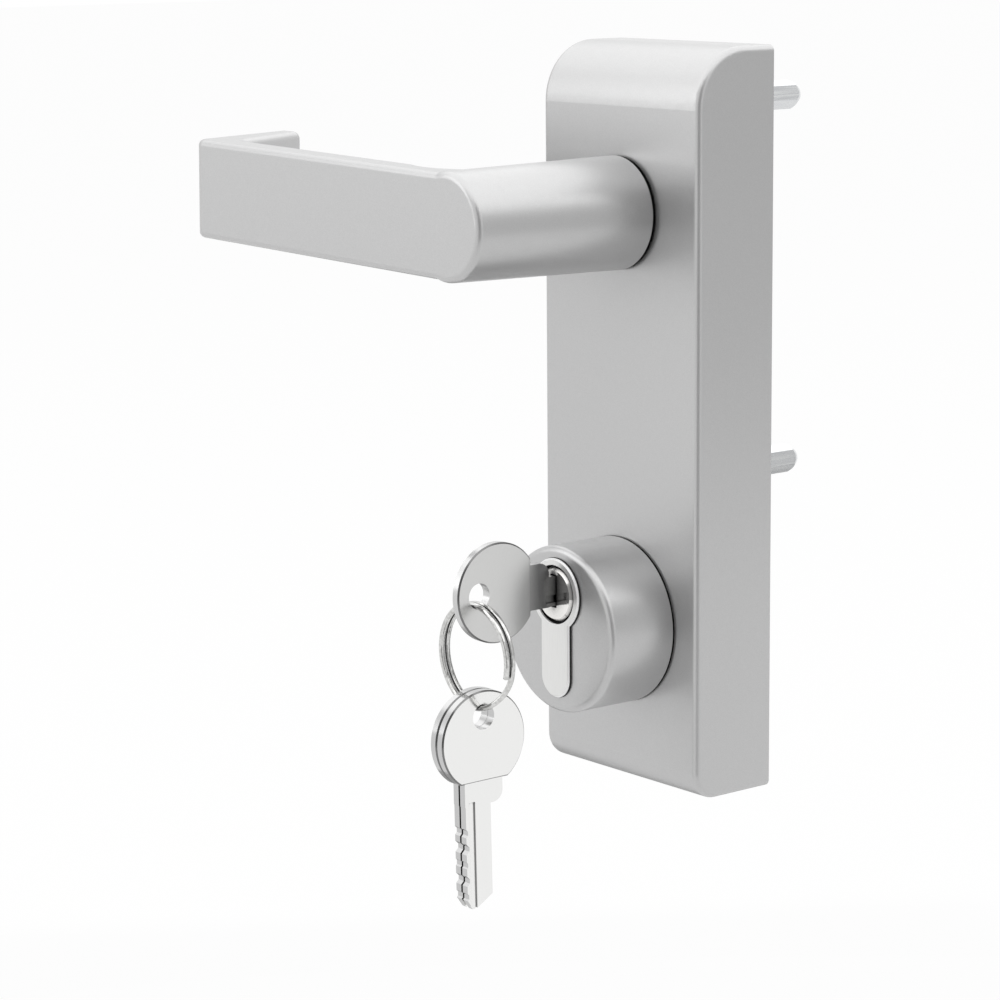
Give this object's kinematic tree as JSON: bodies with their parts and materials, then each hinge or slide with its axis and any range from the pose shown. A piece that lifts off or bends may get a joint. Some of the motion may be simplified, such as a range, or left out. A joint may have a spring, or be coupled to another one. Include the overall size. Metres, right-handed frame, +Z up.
{
  "type": "outside access device",
  "caption": "Outside trim of a panic exit device: tall rounded plate with a lever handle, a collared profile cylinder, a key in the lock and a split ring of spare keys.",
  "frame": {"origin": "on the back face of the chassis plate, which lies on the door, behind the middle of the plate", "axes": "+X to the right as seen from outside, +Y into the door, +Z up"},
  "size_m": [0.1341, 0.1101, 0.196],
  "materials": {
    "silver": "fine satin silver on a zinc casting",
    "nickel": "satin nickel plated brass",
    "bright_nickel": "bright nickel plated brass",
    "steel": "zinc plated steel",
    "spring_steel": "bright spring wire",
    "nylon": "black nylon",
    "gasket": "thin dark gasket",
    "brass": "plain turned brass",
    "zinc": "plain zinc casting"
  },
  "bodies": {
    "housing": {"housing_cover": "silver", "chassis_plate": "steel", "chassis_screws": "steel", "fixing_studs": "steel", "bearing_bush": "nylon", "stop_posts": "steel", "spring_post": "steel", "return_spring": "spring_steel", "slide_guides": "steel", "slide_spring": "spring_steel", "cylinder_collar": "silver", "collar_gasket": "gasket", "collar_screws": "steel", "cylinder_body": "nickel", "driver_pins": "brass", "tumbler_springs": "spring_steel", "chamber_plugs": "brass", "cylinder_cradle": "steel", "cylinder_screw": "steel"},
    "lever": {"lever_handle": "silver", "lever_journal": "steel", "grub_screw": "steel", "journal_circlip": "spring_steel", "follower_cup": "zinc", "pin_spring": "spring_steel"},
    "pin": {"coupling_pin": "steel"},
    "spindle": {"spindle_driver": "zinc", "tail_spindle": "steel"},
    "slide": {"coupling_slide": "steel"},
    "plug": {"cylinder_plug": "bright_nickel", "plug_circlip": "spring_steel", "cylinder_cam": "steel", "key_pins": "brass", "lock_key": "nickel"},
    "ring": {"split_ring": "bright_nickel"},
    "front_key": {"spare_key_front": "nickel"},
    "back_key": {"spare_key_back": "nickel"}
  },
  "joints": [
    {"name": "lever_turn", "type": "hinge", "parent": "housing", "child": "lever", "pos_m": [0, 0, 0.0483], "axis": [0, -1, 0], "range_deg": [0, 40], "stiffness_Nm_per_rad": 1.2, "springref_deg": -28.65, "deforming": ["return_spring"]},
    {"name": "spindle_turn", "type": "hinge", "parent": "housing", "child": "spindle", "pos_m": [0, 0, 0.0483], "axis": [0, -1, 0], "range_deg": [0, 40]},
    {"name": "key_turn", "type": "hinge", "parent": "housing", "child": "plug", "pos_m": [0, 0, -0.039], "axis": [0, -1, 0], "range_deg": [0, 90]},
    {"name": "slide_lift", "type": "slide", "parent": "housing", "child": "slide", "axis": [0, 0, 1], "range_m": [0, 0.003], "deforming": ["slide_spring"]},
    {"name": "pin_release", "type": "slide", "parent": "lever", "child": "pin", "axis": [0.342, 0, 0.9397], "range_m": [0, 0.0025], "deforming": ["pin_spring"]},
    {"name": "ring_swing", "type": "hinge", "parent": "plug", "child": "ring", "pos_m": [0, -0.0659, -0.036], "axis": [1, 0, 0], "range_deg": [-25, 10]},
    {"name": "front_key_swing", "type": "hinge", "parent": "ring", "child": "front_key", "pos_m": [0, -0.0659, -0.06385], "axis": [0.9994, -0.0349, 0], "range_deg": [-15, 15]},
    {"name": "back_key_swing", "type": "hinge", "parent": "ring", "child": "back_key", "pos_m": [0, -0.0659, -0.06385], "axis": [0.9994, -0.0349, 0], "range_deg": [-15, 15]}
  ],
  "couplings": [
    {"joint": "spindle_turn", "follows": "lever_turn", "ratio": 1},
    {"joint": "slide_lift", "follows": "key_turn", "m_per_rad": 0.0019099},
    {"joint": "pin_release", "follows": "key_turn", "m_per_rad": 0.0015915}
  ]
}
